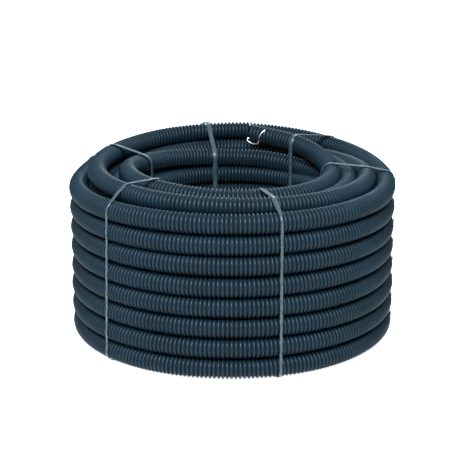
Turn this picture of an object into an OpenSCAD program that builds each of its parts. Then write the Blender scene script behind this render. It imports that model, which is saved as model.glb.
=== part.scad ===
// A 25 m coil of corrugated conduit, wound eight turns high and four turns deep,
// bound with six flat ties, with a steel draw wire left in the bore.

/* [Conduit] */
// Outside diameter over the ribs
conduit_od = 20; // [18:0.5:24]
// Clear bore of the conduit
conduit_bore = 14; // [10:0.5:15]
// Distance from one rib to the next
rib_pitch = 4; // [3:0.25:5]
// How far a rib stands above the groove beside it
rib_depth = 1.6; // [0.8:0.1:2]

/* [Coil] */
// Clear diameter through the middle of the coil
coil_bore = 182; // [150:2:240]
// Turns in the height of the coil
layers = 8; // [4:1:10]
// Play between one turn and the next, up the coil
layer_play = 0.2; // [0.1:0.1:1]
// Radial squeeze of one column of turns into the next
column_nesting = 1.3; // [0.5:0.1:2]
// How much higher every other column of turns sits
column_rise = 6.5; // [4:0.5:9]
// Clearance between each tail and the flat turn that it has climbed over
tail_play = 0.6; // [0.4:0.2:3]
// The same clearance under the outermost top turn, at the back
outer_play = 2; // [1:0.5:5]
// How far the left tail is drawn in from the outermost turn
tail_inset = 4; // [3:0.5:5]
// Height that the third column's top turn has climbed at the back
inner_climb = 10; // [6:1:12]

/* [Tail ends] */
// Ribs on the straight end of the tail that comes from the left
left_end_ribs = 7; // [5:1:8]
// Ribs on the straight end of the tail that comes from the right
right_end_ribs = 6; // [5:1:8]

/* [Draw wire] */
// Diameter of the steel draw wire
wire_d = 1.5; // [1:0.1:2]
// Length of wire bent back along the outside of each tail
wire_return = 14; // [6:1:20]

/* [Ties] */
// Width of a tie
tie_width = 5; // [3:0.5:8]
// Thickness of a tie
tie_thickness = 0.8; // [0.4:0.1:1.2]

/* [Hidden] */
$fn = 48;

// Gap between a piece and the one that it lies on
seat_gap = 0.3;
// Columns of turns, counted outward from the bore
columns = 4;
outermost = columns - 1;
// Where each tie goes round the coil, in degrees from +X
TIE_ANGLES = [0, 47, 102, 158, 224, 286];
// Climbing turns leave the flat ones this many degrees in front of the sides
climb_overrun = 9;
// How far each climbing turn is drawn in, so it parts from the flat one cleanly
// and the tail in the second column lies clear of the outermost turn
CLIMB_INSETS = [0.5, 0.5, tail_inset, 0.5];
// Angle where each tail leaves its turn and runs straight to its mouth
left_tail_angle = 93;
right_tail_angle = 65;
// Climb that each column's top turn reaches at the back, from the bore outward:
// the innermost has cleared the turn below it by the angle where its tail ends
CLIMBS = [
    (conduit_od + tail_play) / sin(right_tail_angle),
    inner_climb,
    conduit_od + tail_play,
    conduit_od + outer_play
];

turn_r = conduit_od / 2;
layer_step = conduit_od + layer_play;
column_step = conduit_od - column_nesting;
bottom_z = tie_thickness + seat_gap + turn_r;
left_end_length = left_end_ribs * rib_pitch;
right_end_length = right_end_ribs * rib_pitch;

// Radius of a column's turns
function column_r(c) = coil_bore / 2 + turn_r + c * column_step;
// Every other column sits higher, towards the hollows of its neighbour
function column_lift(c) = ((outermost - c) % 2) * column_rise;
function turn_z(c, layer) = bottom_z + column_lift(c) + layer * layer_step;
function top_z(c) = turn_z(c, layers - 1);
// Radius of a column's climbing top turn, in its own sloping plane
function climb_r(c) = column_r(c) - CLIMB_INSETS[c];
function climb_tilt(c) = asin(CLIMBS[c] / climb_r(c));

// Which stretch of a column's top turn climbs, from and to, in degrees
function climb_span(c) =
    c == 0 ? [-climb_overrun, right_tail_angle]
    : c == 2 ? [left_tail_angle, 180 + climb_overrun]
    : [-climb_overrun, 180 + climb_overrun];

function climbs_at(c, a) = let(span = climb_span(c)) a > span[0] && a < span[1];

// One turned solid: the turns show round it, and the hidden voids are filled
module wound_section() {
    for (c = [0 : outermost], layer = [0 : layers - 1])
        if (c == 0 || c == outermost || layer == 0 || layer == layers - 1)
            translate([column_r(c), turn_z(c, layer)]) circle(r = turn_r);
    polygon(concat(
        [for (c = [0 : outermost]) [column_r(c), top_z(c)]],
        [for (c = [outermost : -1 : 0]) [column_r(c), turn_z(c, 0)]]
    ));
}

// Puts its children in the sloping plane of a column's climbing top turn
module on_climb(c) {
    translate([0, 0, top_z(c)]) rotate([climb_tilt(c), 0, 0]) children();
}

module climbing_turn(c) {
    span = climb_span(c);
    on_climb(c)
        rotate([0, 0, span[0]])
            rotate_extrude(angle = span[1] - span[0])
                translate([climb_r(c), 0]) circle(r = turn_r);
}

// Half outline of the ribbed wall, from the bore to the rib crests, along +Y
function rib_outline(ribs) = concat(
    [[conduit_bore / 2, 0]],
    [for (i = [0 : ribs - 1], p = [
        [turn_r - rib_depth, 0], [turn_r - rib_depth, 0.25],
        [turn_r, 0.4], [turn_r, 0.85], [turn_r - rib_depth, 1]
    ]) [p[0], (i + p[1]) * rib_pitch]],
    [[conduit_bore / 2, ribs * rib_pitch]]
);

// Straight ribbed end, open at its far face, starting at the origin along +Z
module ribbed_end(ribs) {
    rotate_extrude() polygon(rib_outline(ribs));
}

// Puts its children where a tail leaves its turn, with +Z along the tail
module at_left_tail() {
    on_climb(2) rotate([0, 0, left_tail_angle]) translate([climb_r(2), 0, 0])
        rotate([90, 0, 0]) children();
}

module at_right_tail() {
    on_climb(0) rotate([0, 0, right_tail_angle]) translate([climb_r(0), 0, 0])
        rotate([-90, 0, 0]) children();
}

module conduit() {
    color([0.08, 0.12, 0.16]) union() {
        rotate_extrude() wound_section();
        for (c = [0 : outermost]) climbing_turn(c);
        at_left_tail() ribbed_end(left_end_ribs);
        at_right_tail() ribbed_end(right_end_ribs);
    }
}

// Wire along the +X side of a bore, folded back over the rim of the mouth
module bent_wire(mouth) {
    inside_x = conduit_bore / 2 - seat_gap - wire_d / 2;
    outside_x = turn_r + seat_gap + wire_d / 2;
    fold_r = (outside_x - inside_x) / 2;
    translate([inside_x, 0, seat_gap]) cylinder(d = wire_d, h = mouth - seat_gap);
    translate([inside_x + fold_r, 0, mouth])
        rotate([90, 0, 0]) rotate_extrude(angle = 180) translate([fold_r, 0]) circle(d = wire_d);
    translate([outside_x, 0, mouth - wire_return]) cylinder(d = wire_d, h = wire_return);
}

module draw_wire() {
    color([0.8, 0.82, 0.84]) {
        at_left_tail() rotate([0, 0, 90]) bent_wire(left_end_length);
        at_right_tail() rotate([0, 0, -90]) bent_wire(right_end_length);
    }
}

// Keeps the points that bulge, going round clockwise: a convex chain
function turns_right(p, q, r) = (q[0] - p[0]) * (r[1] - p[1]) - (q[1] - p[1]) * (r[0] - p[0]) < 0;
function pushed(chain, p) =
    let(n = len(chain))
    n < 2 || turns_right(chain[n - 2], chain[n - 1], p) ? concat(chain, [p])
    : pushed([for (i = [0 : n - 2]) chain[i]], p);
function bulging(points, i = 0, chain = []) =
    i == len(points) ? chain : bulging(points, i + 1, pushed(chain, points[i]));

// Room that a flat tie needs over a turn that slopes beneath it
function slope_room(c, a) =
    let(slope = tan(climb_tilt(c)) * cos(a))
    abs(slope) * tie_width / 2 + turn_r * (sqrt(1 + slope * slope) - 1);

// Where a climbing turn crosses the upright plane at one angle, with that room
function climb_crossing(c, a) =
    let(
        tilt = climb_tilt(c),
        along = atan2(sin(a), cos(a) * cos(tilt)),
        ring = climb_r(c) * [cos(along), sin(along)]
    )
    [norm([ring[0], ring[1] * cos(tilt)]), top_z(c) + ring[1] * sin(tilt) + slope_room(c, a)];

// Centres of the outer turns that a tie at this angle is pulled round
function tie_corners(a) =
    let(
        crests = [for (c = [0 : outermost], p = [
            if (climbs_at(c, a)) climb_crossing(c, a),
            [column_r(c), top_z(c)]
        ]) p],
        feet = [for (c = [outermost : -1 : 0]) [column_r(c), turn_z(c, 0)]],
        start = feet[outermost],
        loop = bulging(concat([start], crests, feet))
    )
    [for (i = [0 : len(loop) - 2]) loop[i]];

function bearing(p, q) = atan2(q[1] - p[1], q[0] - p[0]);
// Closed path round circles of one radius at the corners, taken clockwise
function pulled_round(corners, radius) =
    let(n = len(corners))
    [for (i = [0 : n - 1])
        let(
            from = bearing(corners[(i + n - 1) % n], corners[i]) + 90,
            to = bearing(corners[i], corners[(i + 1) % n]) + 90,
            sweep = (from - to + 720) % 360,
            steps = max(1, ceil(sweep / 12))
        )
        for (s = [0 : steps])
            corners[i] + radius * [cos(from - sweep * s / steps), sin(from - sweep * s / steps)]
    ];

module tie(i) {
    a = TIE_ANGLES[i];
    corners = tie_corners(a);
    color([0.55, 0.6, 0.62])
        rotate([90, 0, a]) linear_extrude(tie_width, center = true) difference() {
            polygon(pulled_round(corners, turn_r + seat_gap + tie_thickness));
            polygon(pulled_round(corners, turn_r + seat_gap));
        }
}

conduit();
draw_wire();
tie(0);  // tie_1
tie(1);  // tie_2
tie(2);  // tie_3
tie(3);  // tie_4
tie(4);  // tie_5
tie(5);  // tie_6
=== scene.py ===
import math
import bpy
import numpy as np
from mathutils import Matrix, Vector


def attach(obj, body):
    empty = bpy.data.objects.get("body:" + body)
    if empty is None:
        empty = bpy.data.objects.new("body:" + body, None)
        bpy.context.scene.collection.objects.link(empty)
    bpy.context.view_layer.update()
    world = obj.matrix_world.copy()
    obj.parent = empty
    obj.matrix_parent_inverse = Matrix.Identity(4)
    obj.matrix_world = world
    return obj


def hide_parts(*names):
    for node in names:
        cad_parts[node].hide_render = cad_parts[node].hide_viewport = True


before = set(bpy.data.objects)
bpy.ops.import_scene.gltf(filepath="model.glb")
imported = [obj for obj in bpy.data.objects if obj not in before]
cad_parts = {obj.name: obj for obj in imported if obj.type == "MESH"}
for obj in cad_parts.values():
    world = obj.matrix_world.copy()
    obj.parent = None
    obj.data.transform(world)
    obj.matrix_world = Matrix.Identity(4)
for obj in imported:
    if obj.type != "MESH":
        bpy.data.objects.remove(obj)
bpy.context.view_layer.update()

MM = 0.001

# ---------------------------------------------------------------- camera
cam_data = bpy.data.cameras.new("camera")
cam = bpy.data.objects.new("camera", cam_data)
bpy.context.scene.collection.objects.link(cam)
ELEVATION = math.radians(16.126)
DISTANCE = 1.3455
TARGET = Vector((0.0038, 0.0, 0.1023))
cam.location = TARGET + DISTANCE * Vector((0, -math.cos(ELEVATION), math.sin(ELEVATION)))
cam.rotation_euler = (math.pi / 2 - ELEVATION, 0, 0)
cam_data.sensor_width = 36
cam_data.lens = 99.0
cam_data.clip_start = 0.01
cam_data.clip_end = 50
bpy.context.scene.camera = cam
bpy.context.scene.view_settings.view_transform = "Standard"

# ---------------------------------------------------------------- the winding, in mm
TUBE_R = 10.0
BORE_R = 7.2
# how far the ridges inside the bore go out, and how deep into a mouth they are made
BORE_RIDGE = 0.9
BORE_DEPTH = 36
PITCH = 4.0
GROOVE_R = 7.75
# radius that draws an end together, so that no hole shows
TIP_R = 0.05
# place in one rib's length, and radius there: groove, wall, round crest, wall
RIB = [(-0.1, GROOVE_R), (0.1, GROOVE_R), (0.24, 9.1), (0.5, TUBE_R), (0.76, 9.1)]

# radius of each column of turns, from outside to inside
OUTER_R, SECOND_R, THIRD_R, INNER_R = 156.7, 136.8, 118.1, 101.2
TOP_R = OUTER_R - 0.3
# heights of the lowest turns: every other column sits higher
LOW_Z, HIGH_Z = 11.1, 17.6
OUTER_Z = [LOW_Z, 31.2, 51.3, 71.4, 91.5, 111.8, 131.8]
INNER_STEP = 19.9
INNER_Z = [HIGH_Z + INNER_STEP * k for k in range(7)]
# from one turn's centre to the next, where one lies in the hollow of two
NESTED_GAP = 20.3
# radius of the second column's turn below its tail
UNDER_TAIL_R = 134
# radius, round a turn's centre, of the line that a tie's inner face follows
FILM_R = 10.25


def eased(phi, keys):
    """Smooth value at phi degrees through (degrees, value) keys."""
    x = np.array([k[0] for k in keys], float)
    y = np.array([k[1] for k in keys], float)
    m = np.gradient(y, x)
    i = np.clip(np.searchsorted(x, phi) - 1, 0, len(x) - 2)
    h = x[i + 1] - x[i]
    t = np.clip((phi - x[i]) / h, 0, 1)
    return ((1 + 2 * t) * (1 - t) ** 2 * y[i] + t * (1 - t) ** 2 * h * m[i]
            + t * t * (3 - 2 * t) * y[i + 1] + t * t * (t - 1) * h * m[i + 1])


TOP_Z_KEYS = [
    (-90, 151.8), (-45, 151.8), (-10, 153), (10, 156.5), (30, 162), (50, 167), (70, 171.5), (90, 174),
    (110, 170.5), (130, 164.5), (150, 159), (170, 153.5), (200, 151.6), (235, 151.8), (270, 151.8)
]


def wrapped(phi):
    return (phi + 90) % 360 - 90


def top_z(phi):
    return eased(wrapped(phi), TOP_Z_KEYS)


def under_z(phi):
    return (top_z(phi) + OUTER_Z[-1]) / 2


def under_r(phi):
    half = (top_z(phi) - OUTER_Z[-1]) / 2
    return OUTER_R - np.sqrt(np.maximum(0, NESTED_GAP ** 2 - half ** 2))


THIRD_Z_KEYS = [
    (-90, 151), (-45, 153), (0, 156), (45, 160), (90, 162), (130, 159), (160, 151.5), (180, 148),
    (215, 148), (245, 150), (270, 151)
]


def third_z(phi):
    return eased(wrapped(phi), THIRD_Z_KEYS)


def third_r(phi):
    """Pushed out a little on the left, where the innermost turn leans over it."""
    return THIRD_R + 1.2 * np.exp(-((wrapped(phi) - 185) / 35) ** 2)


SECOND_Z_KEYS = [
    (-278, 178.6), (-267, 178.2), (-240, 176), (-210, 171.5), (-180, 168), (-135, 164.5), (-90, 162.1),
    (-45, 160), (0, 158.5), (45, 156.5), (86, 156), (110, 155.5), (150, 150.5), (188, 146)
]
SECOND_R_KEYS = [
    (-278, 134.2), (-267, 133.4), (-240, 134.5), (-200, 136.6), (-90, 136.8), (86, 136.8), (188, 136.8)
]
INNER_R_KEYS = [
    (20, 113), (40, 106), (60, INNER_R), (110, INNER_R), (145, 103.6), (180, 106), (215, 103.8),
    (250, INNER_R + 0.3), (290, INNER_R), (425, INNER_R)
]
INNER_Z_KEYS = [
    (20, 143), (45, 150), (70, 154.5), (96, 155.5), (140, 160), (180, 164.5), (220, 163.5),
    (270, 160.6), (340, 160.2), (360, 162), (375, 166.5), (390, 171), (410, 176.6), (425, 179.4)
]


def ring_points(r, z, start, end, step=0.5):
    phi = np.arange(start, end + step / 2, step)
    rr = r(phi) if callable(r) else np.full(phi.shape, float(r))
    zz = z(phi) if callable(z) else np.full(phi.shape, float(z))
    a = np.radians(phi)
    return np.stack([rr * np.cos(a), rr * np.sin(a), zz], 1)


# ---------------------------------------------------------------- mesh making
class Build:
    """Gathers quads, then makes one smooth mesh object in metres."""

    def __init__(self):
        self.verts, self.quads, self.rib, self.count = [], [], [], 0

    def grid(self, points, close_u=False, close_v=False, rib=None):
        n, m = points.shape[:2]
        u = np.arange(n if close_u else n - 1)[:, None]
        v = np.arange(m if close_v else m - 1)[None, :]
        u1, v1 = (u + 1) % n, (v + 1) % m
        quads = np.stack([u * m + v, u * m + v1, u1 * m + v1, u1 * m + v], -1).reshape(-1, 4)
        self.verts.append(points.reshape(-1, 3))
        self.quads.append(quads + self.count)
        # a surface given no rib values takes the plastic's painted groove shade all over
        self.rib.append(np.zeros(n * m) if rib is None else np.repeat(rib, m))
        self.count += n * m

    def made(self, name, material, nodes, flat=False):
        verts = np.concatenate(self.verts) * MM
        quads = np.concatenate(self.quads)
        mesh = bpy.data.meshes.new(name)
        mesh.vertices.add(len(verts))
        mesh.vertices.foreach_set("co", verts.ravel())
        mesh.loops.add(quads.size)
        mesh.loops.foreach_set("vertex_index", quads.ravel().astype(np.int32))
        mesh.polygons.add(len(quads))
        mesh.polygons.foreach_set("loop_start", np.arange(0, quads.size, 4, dtype=np.int32))
        mesh.polygons.foreach_set("use_smooth", np.full(len(quads), not flat))
        mesh.update(calc_edges=True)
        mesh.validate()
        mesh.attributes.new("rib", "FLOAT", "POINT").data.foreach_set("value", np.concatenate(self.rib))
        mesh.materials.append(material)
        obj = bpy.data.objects.new(name, mesh)
        bpy.context.scene.collection.objects.link(obj)
        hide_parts(*nodes)
        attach(obj, "root")


def along(points, closed):
    """Length along a path, and how to read place and direction at any length."""
    if closed:
        points = np.vstack([points, points[:1]])
    seg = np.linalg.norm(np.diff(points, axis=0), axis=1)
    s = np.concatenate([[0], np.cumsum(seg)])
    tangent = np.gradient(points, s, axis=0)
    if closed:
        tangent[0] = tangent[-1] = tangent[0] + tangent[-1]

    def at(x):
        p = np.stack([np.interp(x, s, points[:, k]) for k in range(3)], 1)
        t = np.stack([np.interp(x, s, tangent[:, k]) for k in range(3)], 1)
        return p, t / np.linalg.norm(t, axis=1, keepdims=True)

    return s[-1], at


def skin(build, at, stations, segs, arc=None, close_u=False):
    """Sweeps circles of the stations' radii. With arc, in degrees from outward, each
    section is that part of the circle, closed by a straight chord."""
    s = np.array([k[0] for k in stations])
    r = np.array([k[1] for k in stations])
    p, t = at(s)
    out = np.cross(t, [0, 0, 1.0])
    out /= np.linalg.norm(out, axis=1, keepdims=True)
    up = np.cross(out, t)
    if arc is None:
        theta = np.arange(segs) * 2 * np.pi / segs
    else:
        theta = np.radians(np.linspace(arc[0], arc[1], segs + 1))
    ring = (out[:, None, :] * np.cos(theta)[None, :, None]
            + up[:, None, :] * np.sin(theta)[None, :, None])
    # the rib value is 0 or near it in grooves, in the mouths' bores and at drawn-in ends, where the plastic
    # paints shade, and 1 on crests
    build.grid(p[:, None, :] + r[:, None, None] * ring, close_u=close_u, close_v=True,
               rib=np.clip((r - GROOVE_R) / (TUBE_R - GROOVE_R), 0, 1))


def conduit(build, points, segs=20, arc=None, closed=False, mouth=None):
    """One run of ribbed conduit. Its ends are drawn together, apart from the open mouth
    that it shows at its 'start' or 'end'."""
    total, at = along(points, closed)
    ribs = max(1, round(total / PITCH))
    pitch = total / ribs
    stations = [((i + u) * pitch, r) for i in range(ribs) for u, r in RIB]
    if closed:
        stations = [(s % total, r) for s, r in stations]
    else:
        stations = [(max(0.0, s), r) for s, r in stations] + [(total, RIB[0][1])]
        if mouth != "start":
            stations.insert(0, (0.0, TIP_R))
        if mouth != "end":
            stations.append((total, TIP_R))
    skin(build, at, stations, segs, arc, close_u=closed)
    if mouth:
        end, way = (total, -1) if mouth == "end" else (0.0, 1)
        skin(build, at, [(end, RIB[0][1]), (end, BORE_R)], segs)
        inner = [(end + way * d, BORE_R + (BORE_RIDGE if k % 2 else 0.0))
                 for k, d in enumerate(np.arange(0, BORE_DEPTH, PITCH / 2))]
        skin(build, at, inner, segs)
        skin(build, at, [inner[-1], (inner[-1][0], TIP_R)], segs)


def wavy(r, z, seed, amp_r=0.35, amp_z=0.25):
    """A flat turn that isn't quite round or level, as wound by machine."""
    rng = np.random.default_rng(seed)
    pr, pz = rng.uniform(0, 2 * np.pi, 2)

    def rr(phi):
        a = np.radians(phi)
        return r + amp_r * np.sin(2 * a + pr) - amp_r

    def zz(phi):
        a = np.radians(phi)
        return z + amp_z * np.sin(2 * a + pz)

    return rr, zz


# ---------------------------------------------------------------- materials
CREST_DARK = (0.0014, 0.0078, 0.0140)
CREST_LIGHT = (0.0032, 0.0125, 0.0205)
# painted shade for the grooves: the plastic's own colour made far darker where it lies deep between ribs
PAINTED_GROOVE_SHADE_DARK = (0.0004, 0.0016, 0.0034)
PAINTED_GROOVE_SHADE_LIGHT = (0.0008, 0.0030, 0.0056)
FILM_DARK = (0.018, 0.028, 0.037)
FILM_LIGHT = (0.045, 0.062, 0.074)
STEEL_DARK = (0.55, 0.57, 0.59)
STEEL_LIGHT = (0.82, 0.83, 0.84)


def new_material(name):
    m = bpy.data.materials.new(name)
    m.use_nodes = True
    nt = m.node_tree
    return m, nt, nt.nodes["Principled BSDF"]


def node(nt, kind, **values):
    n = nt.nodes.new(kind)
    for k, v in values.items():
        if k in n.inputs:
            n.inputs[k].default_value = v
        else:
            setattr(n, k, v)
    return n


def ramp(nt, source, stops):
    n = nt.nodes.new("ShaderNodeValToRGB")
    e = n.color_ramp.elements
    while len(e) < len(stops):
        e.new(0.5)
    for k, (pos, col) in enumerate(stops):
        e[k].position, e[k].color = pos, (*col, 1)
    nt.links.new(source, n.inputs["Fac"])
    return n.outputs["Color"]


def plastic():
    """Moulded petrol-black plastic: cloudy tone, fine grain, scuffed patches, and painted shade that
    darkens the grooves.
    """
    m, nt, bsdf = new_material("conduit_plastic")
    place = nt.nodes.new("ShaderNodeTexCoord").outputs["Object"]
    tone = node(nt, "ShaderNodeTexNoise", Scale=26.0, Detail=4.0, Roughness=0.6)
    grain = node(nt, "ShaderNodeTexNoise", Scale=1500.0, Detail=3.0, Roughness=0.65)
    scuff = node(nt, "ShaderNodeTexNoise", Scale=75.0, Detail=6.0, Roughness=0.7)
    for n in (tone, grain, scuff):
        nt.links.new(place, n.inputs["Vector"])
    # the rib value mixes in painted shade: full in the grooves (0), none on the crests (1), where the
    # plastic shows its own colour
    rib = node(nt, "ShaderNodeAttribute", attribute_name="rib")
    crest_colour = ramp(nt, tone.outputs["Fac"], [(0.3, CREST_DARK), (0.7, CREST_LIGHT)])
    groove_painted_shade = ramp(nt, tone.outputs["Fac"], [(0.3, PAINTED_GROOVE_SHADE_DARK), (0.7, PAINTED_GROOVE_SHADE_LIGHT)])
    groove_shade_mix = node(nt, "ShaderNodeMix", data_type="RGBA")
    nt.links.new(rib.outputs["Fac"], groove_shade_mix.inputs[0])
    nt.links.new(groove_painted_shade, groove_shade_mix.inputs[6])
    nt.links.new(crest_colour, groove_shade_mix.inputs[7])
    nt.links.new(groove_shade_mix.outputs[2], bsdf.inputs["Base Color"])
    # crests are rubbed smooth, grooves keep the mould's matt finish
    rough = node(nt, "ShaderNodeMapRange")
    nt.links.new(rib.outputs["Fac"], rough.inputs["Value"])
    rough.inputs["From Min"].default_value = 0.35
    rough.inputs["To Min"].default_value = 0.85
    rough.inputs["To Max"].default_value = 0.25
    patch = node(nt, "ShaderNodeMath", operation="MULTIPLY_ADD")
    nt.links.new(scuff.outputs["Fac"], patch.inputs[0])
    patch.inputs[1].default_value = 0.16
    nt.links.new(rough.outputs["Result"], patch.inputs[2])
    nt.links.new(patch.outputs[0], bsdf.inputs["Roughness"])
    bump = node(nt, "ShaderNodeBump", Strength=0.12, Distance=0.0002)
    nt.links.new(grain.outputs["Fac"], bump.inputs["Height"])
    nt.links.new(bump.outputs["Normal"], bsdf.inputs["Normal"])
    bsdf.inputs["IOR"].default_value = 1.5
    bsdf.inputs["Specular IOR Level"].default_value = 0.17
    return m


def film():
    """Thin grey film, part clear, with stretch lines along it."""
    m, nt, bsdf = new_material("tie_film")
    place = nt.nodes.new("ShaderNodeTexCoord").outputs["Object"]
    haze = node(nt, "ShaderNodeTexNoise", Scale=160.0, Detail=4.0)
    pull = node(nt, "ShaderNodeTexNoise", Scale=900.0, Detail=2.0)
    for n in (haze, pull):
        nt.links.new(place, n.inputs["Vector"])
    nt.links.new(ramp(nt, haze.outputs["Fac"], [(0.3, FILM_DARK), (0.7, FILM_LIGHT)]),
                 bsdf.inputs["Base Color"])
    bump = node(nt, "ShaderNodeBump", Strength=0.25, Distance=0.0003)
    nt.links.new(pull.outputs["Fac"], bump.inputs["Height"])
    nt.links.new(bump.outputs["Normal"], bsdf.inputs["Normal"])
    bsdf.inputs["Roughness"].default_value = 0.3
    bsdf.inputs["Alpha"].default_value = 0.75
    return m


def steel():
    """Bright drawn wire with fine scratches."""
    m, nt, bsdf = new_material("draw_wire_steel")
    place = nt.nodes.new("ShaderNodeTexCoord").outputs["Object"]
    lines = node(nt, "ShaderNodeTexNoise", Scale=1200.0, Detail=2.0)
    nt.links.new(place, lines.inputs["Vector"])
    nt.links.new(ramp(nt, lines.outputs["Fac"], [(0.3, STEEL_DARK), (0.7, STEEL_LIGHT)]),
                 bsdf.inputs["Base Color"])
    rough = node(nt, "ShaderNodeMapRange")
    nt.links.new(lines.outputs["Fac"], rough.inputs["Value"])
    rough.inputs["To Min"].default_value = 0.18
    rough.inputs["To Max"].default_value = 0.38
    nt.links.new(rough.outputs["Result"], bsdf.inputs["Roughness"])
    bsdf.inputs["Metallic"].default_value = 1.0
    return m


PLASTIC, FILM, STEEL = plastic(), film(), steel()

# ---------------------------------------------------------------- the conduit
ALL_ROUND = (0, 359.5)
OUTWARD = (-115, 115)
BOREWARD = (65, 295)
DOWNWARD = (-200, 20)
# length of the right tail's straight end
RIGHT_STRAIGHT = 24.5


def right_run():
    """The innermost top turn: round the coil, up at the right, and straight at its end."""
    turn = ring_points(lambda p: eased(p, INNER_R_KEYS), lambda p: eased(p, INNER_Z_KEYS), 20, 425)
    lead = turn[-1] - turn[-2]
    lead /= np.linalg.norm(lead)
    return np.vstack([turn, turn[-1] + lead * np.arange(1, RIGHT_STRAIGHT, 1.0)[:, None]])


LEFT_RUN = ring_points(lambda p: eased(p, SECOND_R_KEYS), lambda p: eased(p, SECOND_Z_KEYS), -278, 188)
RIGHT_RUN = right_run()


def outer_turns(build):
    for k, z in enumerate(OUTER_Z):
        r_at, z_at = wavy(OUTER_R, z, 10 + k)
        conduit(build, ring_points(r_at, z_at, *ALL_ROUND), segs=10, arc=OUTWARD, closed=True)


def top_outer_turn(build):
    """The outermost top turn, which climbs at the back, and the turn seen below it there."""
    conduit(build, ring_points(TOP_R, top_z, *ALL_ROUND), segs=20, closed=True)
    conduit(build, ring_points(under_r, under_z, -14, 194), segs=14)


def top_inner_turns(build):
    conduit(build, LEFT_RUN, segs=20, mouth="start")
    conduit(build, ring_points(third_r, third_z, *ALL_ROUND), segs=18, closed=True)
    conduit(build, RIGHT_RUN, segs=20, mouth="end")


def bore_turns(build):
    for k, z in enumerate(INNER_Z):
        r_at, z_at = wavy(INNER_R, z, 30 + k)
        conduit(build, ring_points(r_at, z_at, *ALL_ROUND), segs=10, arc=BOREWARD, closed=True)


def bottom_turns(build):
    for radius, height in ((SECOND_R, HIGH_Z), (THIRD_R, LOW_Z)):
        conduit(build, ring_points(radius, height, *ALL_ROUND), segs=12, arc=DOWNWARD, closed=True)


def hidden_turns(build):
    """The hidden turns as one plain core, dark with the plastic's painted groove shade, which closes the
    slits between ribs.
    """
    outline = [(103, 17), (154, 13), (154, 152), (130, 152), (118, 147), (103, 148), (103, 17)]
    angles = np.radians(np.arange(0, 360, 3))
    build.grid(np.array([[(r * math.cos(a), r * math.sin(a), z) for r, z in outline] for a in angles]),
               close_u=True)
    # where the outermost turn climbs, the core goes up inside it as a curtain 1 mm thick
    low = ring_points(under_r, under_z, -12, 192, 2.0)
    high = ring_points(TOP_R, top_z, -12, 192, 2.0)
    outward = high / np.linalg.norm(high[:, :2], axis=1, keepdims=True)
    outward[:, 2] = 0
    build.grid(np.stack([low, high, high - outward, low - outward], 1), close_v=True)


for name, make in (
        ("conduit_outer_turns", outer_turns), ("conduit_top_outer_turn", top_outer_turn),
        ("conduit_top_inner_turns", top_inner_turns), ("conduit_bore_turns", bore_turns),
        ("conduit_bottom_turns", bottom_turns), ("conduit_hidden_turns", hidden_turns)):
    piece = Build()
    make(piece)
    piece.made(name, PLASTIC, ["conduit"], flat=make is hidden_turns)


# ---------------------------------------------------------------- ties
def at_angle(phi):
    """Centres (r, z) of the turns that a tie at phi is pulled round."""
    p = np.array([float(phi)])
    left = -360 + phi if phi > 86 else phi
    second_z = float(eased(np.array([left if left > -278 else left + 360]), SECOND_Z_KEYS)[0])
    centres = [(OUTER_R, OUTER_Z[0]), (TOP_R, float(top_z(p)[0])), (SECOND_R, second_z),
               (THIRD_R, float(third_z(p)[0])), (INNER_R, INNER_Z[0]), (THIRD_R, LOW_Z), (SECOND_R, HIGH_Z)]
    inner_phi = max(phi + 360 if phi < 65 else phi, 96)
    centres.append((INNER_R, float(eased(np.array([float(inner_phi)]), INNER_Z_KEYS)[0])))
    if 82 < phi < 180:
        centres.append((UNDER_TAIL_R, float(eased(np.array([phi - 360.0]), SECOND_Z_KEYS)[0])))
    return centres


def hull(points):
    pts = sorted(set(map(tuple, np.round(points, 4))))

    def half(seq):
        out = []
        for p in seq:
            while len(out) > 1 and ((out[-1][0] - out[-2][0]) * (p[1] - out[-2][1])
                                    - (out[-1][1] - out[-2][1]) * (p[0] - out[-2][0])) <= 0:
                out.pop()
            out.append(p)
        return out

    lower, upper = half(pts), half(pts[::-1])
    return np.array(lower[:-1] + upper[:-1])


def pulled_round(centres):
    """Evenly spaced (r, z) points of a film round the turns, and its outward normals."""
    fan = np.radians(np.arange(0, 360, 10))
    loop = hull(np.array([(r + FILM_R * math.cos(a), z + FILM_R * math.sin(a))
                          for r, z in centres for a in fan]))
    closed = np.vstack([loop, loop[:1]])
    seg = np.concatenate([[0], np.cumsum(np.linalg.norm(np.diff(closed, axis=0), axis=1))])
    s = np.arange(0, seg[-1], 2.0)
    path = np.stack([np.interp(s, seg, closed[:, k]) for k in range(2)], 1)
    ahead = np.roll(path, -1, 0) - np.roll(path, 1, 0)
    ahead /= np.linalg.norm(ahead, axis=1, keepdims=True)
    return path, np.stack([ahead[:, 1], -ahead[:, 0]], 1)


def drawn_in(path, normal, phi, sink):
    """The path, up to sink deep in the valleys between the outer turns."""
    level = np.array(OUTER_Z + [float(top_z(np.array([float(phi)]))[0])])
    off_centre = np.min(np.abs(path[:, 1:] - level), axis=1).clip(0, FILM_R - 0.05)
    dip = np.minimum(FILM_R - np.sqrt(FILM_R ** 2 - off_centre ** 2), sink)
    inside = (path[:, 1] > level[0]) & (path[:, 1] < level[-1]) & (path[:, 0] > OUTER_R)
    return path - normal * np.where(inside, dip, 0)[:, None]


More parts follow.
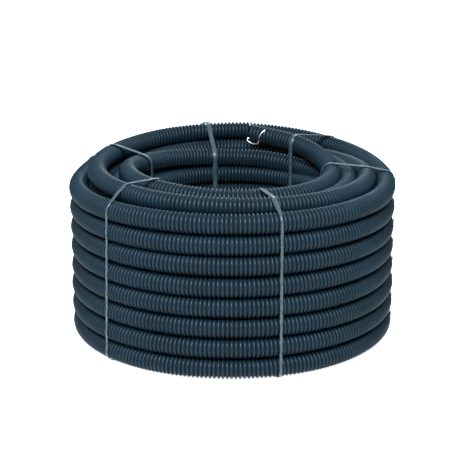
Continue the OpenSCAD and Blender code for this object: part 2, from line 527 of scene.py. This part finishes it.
def tie(name, phi, wide, narrow, drift, sink, nodes):
    """A film of one width, or narrower and drifting sideways down the outer face."""
    path, normal = pulled_round(at_angle(phi))
    path = drawn_in(path, normal, phi, sink)
    a = math.radians(phi)
    radial = np.array([math.cos(a), math.sin(a), 0])
    side = np.array([-math.sin(a), math.cos(a), 0])
    lift = np.array([0, 0, 1.0])
    outer = np.clip((path[:, 0] - 150) / 14, 0, 1)
    width = wide + (narrow - wide) * outer
    slide = drift * outer * (path[:, 1] - 80) / 80
    rows = []
    for off, out in FILM_SECTION:
        q = path + normal * out
        rows.append(q[:, :1] * radial + q[:, 1:] * lift + (off * width + slide)[:, None] * side)
    piece = Build()
    piece.grid(np.stack(rows, 1), close_u=True, close_v=True)
    piece.made(name, FILM, nodes)


# place across the width, as a share of it, and height over the inner face
FILM_SECTION = ((-0.5, 0.0), (-0.5, 0.45), (0.0, 0.6), (0.5, 0.45), (0.5, 0.0))
# angle, width, width on the outer face, sideways drift, and depth into the valleys
TIES = [(0, 5, 5, 0, 3), (47, 5, 5, 0, 0.8), (102, 5, 5, 0, 0.8),
        (158, 5, 5, 0, 0.8), (224, 4, 2.4, 3, 0.5), (286, 5, 2.6, 0, 0.5)]
for i, (phi, wide, narrow, drift, sink) in enumerate(TIES):
    tie("tie_film_%d" % (i + 1), phi, wide, narrow, drift, sink, ["tie_%d" % (i + 1)])


# ---------------------------------------------------------------- draw wire
WIRE_R = 0.75
WIRE_STEP = 0.6


def wire(build, corners):
    """Steel wire through corner points, eased into one smooth line."""
    pts = np.array(corners, float)
    for _ in range(4):
        q = np.stack([0.75 * pts[:-1] + 0.25 * pts[1:], 0.25 * pts[:-1] + 0.75 * pts[1:]], 1)
        pts = np.vstack([pts[:1], q.reshape(-1, 3), pts[-1:]])
    total, at = along(pts, False)
    length = [(x, WIRE_R) for x in np.linspace(0, total, int(total / WIRE_STEP) + 2)]
    skin(build, at, [(0, TIP_R)] + length + [(total, TIP_R)], 8)


def end_frame(points, at_start):
    """Place, outward direction, upward and sideways of a mouth."""
    tip, before = (points[0], points[2]) if at_start else (points[-1], points[-3])
    d = (tip - before) / np.linalg.norm(tip - before)
    side = np.cross(d, [0, 0, 1.0])
    side /= np.linalg.norm(side)
    return tip, d, np.cross(side, d), side


def left_wire(build):
    """Out of the bore, over the top of the rim and back; corners are height and reach."""
    tip, d, up, side = end_frame(LEFT_RUN, True)
    wire(build, [tip + up * height + d * reach for height, reach in (
        (5.2, -20), (5.6, -4), (6.2, 2.6), (9.6, 2.8), (12.4, -1.5), (13, -7), (11, -14))])


def right_wire(build):
    """Out of the bore, round the rim and up across the front of the tail."""
    tip, d, up, side = end_frame(RIGHT_RUN, False)
    front = -side if side[1] > 0 else side

    def corner(degrees, radius, reach):
        t = math.radians(degrees)
        return tip + (up * math.cos(t) + front * math.sin(t)) * radius + d * reach

    wire(build, [corner(140, 5.4, -20), corner(140, 5.6, -4), corner(140, 6.4, 2.4),
                 corner(140, 10, 2.2), corner(146, 11.8, -5), corner(134, 11.6, -12),
                 corner(110, 11.2, -13.5), corner(80, 11, -14), corner(58, 11, -16),
                 corner(40, 11, -18)])


wires = Build()
left_wire(wires)
right_wire(wires)
wires.made("draw_wire_steel", STEEL, ["draw_wire"])


# ---------------------------------------------------------------- floor, backdrop and light
LAMP_TINT = (0.66, 0.9, 1.0)
FLOOR_WHITE = 0.9


def seen(nt, strength):
    """The strength for camera, glossy and transmission rays, and none for the rest."""
    path = nt.nodes.new("ShaderNodeLightPath")
    value = path.outputs["Is Camera Ray"]
    for other in ("Is Glossy Ray", "Is Transmission Ray"):
        most = node(nt, "ShaderNodeMath", operation="MAXIMUM")
        nt.links.new(value, most.inputs[0])
        nt.links.new(path.outputs[other], most.inputs[1])
        value = most.outputs[0]
    scaled = node(nt, "ShaderNodeMath", operation="MULTIPLY")
    nt.links.new(value, scaled.inputs[0])
    scaled.inputs[1].default_value = strength
    return scaled.outputs[0]


floor_mesh = bpy.data.meshes.new("floor")
floor_mesh.from_pydata([(-6, -6, 0), (6, -6, 0), (6, 6, 0), (-6, 6, 0)], [], [(0, 1, 2, 3)])
floor = bpy.data.objects.new("floor", floor_mesh)
bpy.context.scene.collection.objects.link(floor)
fm, nt, bsdf = new_material("floor_paper")
bsdf.inputs["Base Color"].default_value = (0.9, 0.9, 0.9, 1)
bsdf.inputs["Roughness"].default_value = 0.8
white = node(nt, "ShaderNodeEmission", Color=(1, 1, 1, 1))
nt.links.new(seen(nt, FLOOR_WHITE), white.inputs["Strength"])
both = nt.nodes.new("ShaderNodeAddShader")
nt.links.new(bsdf.outputs[0], both.inputs[0])
nt.links.new(white.outputs[0], both.inputs[1])
nt.links.new(both.outputs[0], nt.nodes["Material Output"].inputs["Surface"])
floor_mesh.materials.append(fm)

world = bpy.data.worlds.new("studio")
bpy.context.scene.world = world
world.use_nodes = True
wt = world.node_tree
bg = wt.nodes["Background"]
bg.inputs["Color"].default_value = (0.72, 0.9, 1.0, 1)
bg.inputs["Strength"].default_value = 0.04
plain = node(wt, "ShaderNodeBackground", Color=(1, 1, 1, 1), Strength=1.0)
wm = wt.nodes.new("ShaderNodeMixShader")
wt.links.new(seen(wt, 1.0), wm.inputs[0])
wt.links.new(bg.outputs[0], wm.inputs[1])
wt.links.new(plain.outputs[0], wm.inputs[2])
wt.links.new(wm.outputs[0], wt.nodes["World Output"].inputs["Surface"])


def softbox(name, place, size, power):
    data = bpy.data.lights.new(name, "AREA")
    data.shape, data.size, data.size_y = "RECTANGLE", size[0], size[1]
    data.energy, data.color = power, LAMP_TINT
    light = bpy.data.objects.new(name, data)
    bpy.context.scene.collection.objects.link(light)
    light.location = place
    aim = Vector((0, 0, 0.08)) - Vector(place)
    light.rotation_euler = aim.to_track_quat("-Z", "Y").to_euler()


softbox("key_top", (-0.1, -1.0, 1.25), (1.0, 0.4), 84)
softbox("back_top", (0.2, 1.2, 1.1), (0.9, 0.4), 16)
softbox("fill_left", (-1.3, -0.9, 0.8), (0.4, 0.7), 1.4)
softbox("fill_right", (1.3, -0.8, 0.7), (0.4, 0.7), 0.4)
softbox("front_low", (0.0, -1.6, 0.2), (1.4, 0.2), 1.5)
